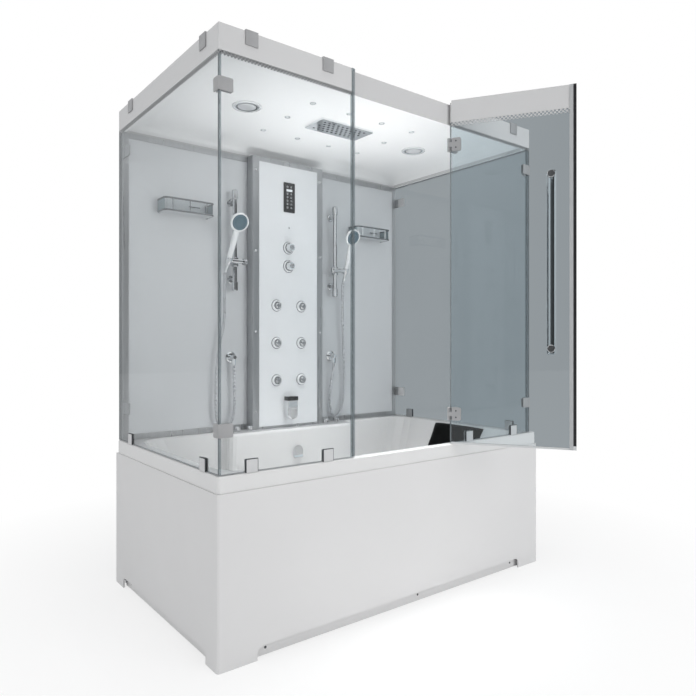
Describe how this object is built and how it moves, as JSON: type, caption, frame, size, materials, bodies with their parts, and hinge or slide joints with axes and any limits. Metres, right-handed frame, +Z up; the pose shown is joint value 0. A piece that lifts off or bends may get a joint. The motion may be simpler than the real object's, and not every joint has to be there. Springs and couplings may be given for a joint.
{
  "type": "tub and shower unit",
  "caption": "Rectangular bath with aprons and a glazed steam-shower cabin on its rim: hinged glass door, shower column, hand showers and rain shower.",
  "frame": {"origin": "on the floor under the middle of the bath's plan, at the underside of the base frame's centre foot", "axes": "+Z up; -Y towards the front apron and the door; +X to the right as seen from the front"},
  "size_m": [1.7, 1.4269, 2.1],
  "materials": {
    "acrylic": "glossy white moulded acrylic",
    "apron": "satin white moulded panel",
    "roof": "satin white moulded roof",
    "wall_panel": "satin pale grey-white back-painted panel",
    "column_panel": "glossy white panel",
    "glass": "clear safety glass with a pale blue-grey tint",
    "aluminium": "satin anodised profile",
    "chrome": "polished chrome plate",
    "steel": "galvanised steel",
    "plastic": "grey moulded plastic",
    "black": "glossy black plastic",
    "foam": "matt black foam with a skin",
    "seal": "clear soft plastic seal",
    "hose": "ribbed metal-effect shower hose"
  },
  "bodies": {
    "cabin": {"back_frame": "aluminium", "back_panel_left": "wall_panel", "back_panel_right": "wall_panel", "base_frame": "steel", "column_housing": "aluminium", "column_panel": "column_panel", "display_panel": "black", "elbow_left": "chrome", "elbow_right": "chrome", "front_apron": "apron", "glass_front_left": "glass", "glass_front_right": "glass", "glass_left": "glass", "glass_right": "glass", "head_cushion": "foam", "hinge_lower_fixed": "chrome", "hinge_upper_fixed": "chrome", "hose_left": "hose", "hose_right": "hose", "jamb_seal": "seal", "left_apron": "apron", "rail_left": "chrome", "rail_right": "chrome", "rain_shower": "chrome", "right_apron": "apron", "rim_channel_left": "aluminium", "rim_channel_right": "aluminium", "roof_tray": "roof", "shelf_left": "chrome", "shelf_right": "chrome", "speaker_left": "chrome", "speaker_right": "chrome", "steam_generator": "steel", "steam_outlet": "chrome", "toe_board": "apron", "tub_shell": "acrylic", "waste_trap": "plastic"},
    "door": {"door_glass": "glass", "door_handle": "chrome", "door_seal": "black", "hinge_upper_door": "chrome", "hinge_lower_door": "chrome"},
    "slider_left": {"slider_left": "chrome"},
    "slider_right": {"slider_right": "chrome"},
    "handset_left": {"handset_left": "chrome"},
    "handset_right": {"handset_right": "chrome"},
    "mixer_knob": {"mixer_knob": "chrome"},
    "diverter_knob": {"diverter_knob": "chrome"},
    "overflow_knob": {"overflow_knob": "chrome"},
    "drain_plug": {"drain_plug": "chrome"},
    "jet_nozzle_1": {"jet_nozzle_1": "chrome"},
    "jet_nozzle_2": {"jet_nozzle_2": "chrome"},
    "jet_nozzle_3": {"jet_nozzle_3": "chrome"},
    "jet_nozzle_4": {"jet_nozzle_4": "chrome"},
    "jet_nozzle_5": {"jet_nozzle_5": "chrome"},
    "jet_nozzle_6": {"jet_nozzle_6": "chrome"},
    "deck_knob_1": {"deck_knob_1": "chrome"},
    "deck_knob_2": {"deck_knob_2": "chrome"},
    "deck_knob_3": {"deck_knob_3": "chrome"},
    "deck_knob_4": {"deck_knob_4": "chrome"}
  },
  "joints": [
    {"name": "door_hinge", "type": "hinge", "parent": "cabin", "child": "door", "pos_m": [0.238, -0.487, 1.335], "axis": [0, 0, 1], "range_deg": [-122, 15]},
    {"name": "slider_left_slide", "type": "slide", "parent": "cabin", "child": "slider_left", "axis": [0, 0, 1], "range_m": [-0.048, 0.262], "deforming": ["hose_left"]},
    {"name": "handset_left_tilt", "type": "hinge", "parent": "slider_left", "child": "handset_left", "pos_m": [-0.3565, 0.3853, 1.46], "axis": [1, 0, 0], "range_deg": [-15, 25]},
    {"name": "slider_right_slide", "type": "slide", "parent": "cabin", "child": "slider_right", "axis": [0, 0, 1], "range_m": [-0.048, 0.262], "deforming": ["hose_right"]},
    {"name": "handset_right_tilt", "type": "hinge", "parent": "slider_right", "child": "handset_right", "pos_m": [0.3565, 0.3853, 1.46], "axis": [1, 0, 0], "range_deg": [-15, 25]},
    {"name": "mixer_knob_turn", "type": "hinge", "parent": "cabin", "child": "mixer_knob", "pos_m": [-0.004, 0.3947, 1.555], "axis": [0, -1, 0], "range_deg": [-60, 60]},
    {"name": "diverter_knob_turn", "type": "hinge", "parent": "cabin", "child": "diverter_knob", "pos_m": [-0.004, 0.3947, 1.46], "axis": [0, -1, 0], "range_deg": [-90, 90]},
    {"name": "jet_nozzle_1_tilt", "type": "hinge", "parent": "cabin", "child": "jet_nozzle_1", "pos_m": [-0.0755, 0.399, 1.255], "axis": [1, 0, 0], "range_deg": [-15, 15]},
    {"name": "jet_nozzle_2_tilt", "type": "hinge", "parent": "cabin", "child": "jet_nozzle_2", "pos_m": [0.0755, 0.399, 1.255], "axis": [1, 0, 0], "range_deg": [-15, 15]},
    {"name": "jet_nozzle_3_tilt", "type": "hinge", "parent": "cabin", "child": "jet_nozzle_3", "pos_m": [-0.0755, 0.399, 1.064], "axis": [1, 0, 0], "range_deg": [-15, 15]},
    {"name": "jet_nozzle_4_tilt", "type": "hinge", "parent": "cabin", "child": "jet_nozzle_4", "pos_m": [0.0755, 0.399, 1.064], "axis": [1, 0, 0], "range_deg": [-15, 15]},
    {"name": "jet_nozzle_5_tilt", "type": "hinge", "parent": "cabin", "child": "jet_nozzle_5", "pos_m": [-0.0755, 0.399, 0.873], "axis": [1, 0, 0], "range_deg": [-15, 15]},
    {"name": "jet_nozzle_6_tilt", "type": "hinge", "parent": "cabin", "child": "jet_nozzle_6", "pos_m": [0.0755, 0.399, 0.873], "axis": [1, 0, 0], "range_deg": [-15, 15]},
    {"name": "overflow_knob_turn", "type": "hinge", "parent": "cabin", "child": "overflow_knob", "pos_m": [0, 0.3265, 0.515], "axis": [0, -1, 0], "range_deg": [0, 60]},
    {"name": "drain_plug_lift", "type": "slide", "parent": "cabin", "child": "drain_plug", "axis": [0, 0, 1], "range_m": [0, 0.0081]},
    {"name": "deck_knob_1_turn", "type": "hinge", "parent": "cabin", "child": "deck_knob_1", "pos_m": [-0.3025, 0.4, 0.63], "axis": [0, 0, 1], "range_deg": [-90, 90]},
    {"name": "deck_knob_2_turn", "type": "hinge", "parent": "cabin", "child": "deck_knob_2", "pos_m": [-0.2345, 0.4, 0.63], "axis": [0, 0, 1], "range_deg": [-90, 90]},
    {"name": "deck_knob_3_turn", "type": "hinge", "parent": "cabin", "child": "deck_knob_3", "pos_m": [0.2345, 0.4, 0.63], "axis": [0, 0, 1], "range_deg": [-90, 90]},
    {"name": "deck_knob_4_turn", "type": "hinge", "parent": "cabin", "child": "deck_knob_4", "pos_m": [0.3025, 0.4, 0.63], "axis": [0, 0, 1], "range_deg": [-90, 90]}
  ],
  "couplings": [
    {"joint": "drain_plug_lift", "follows": "overflow_knob_turn", "m_per_rad": 0.00764}
  ]
}
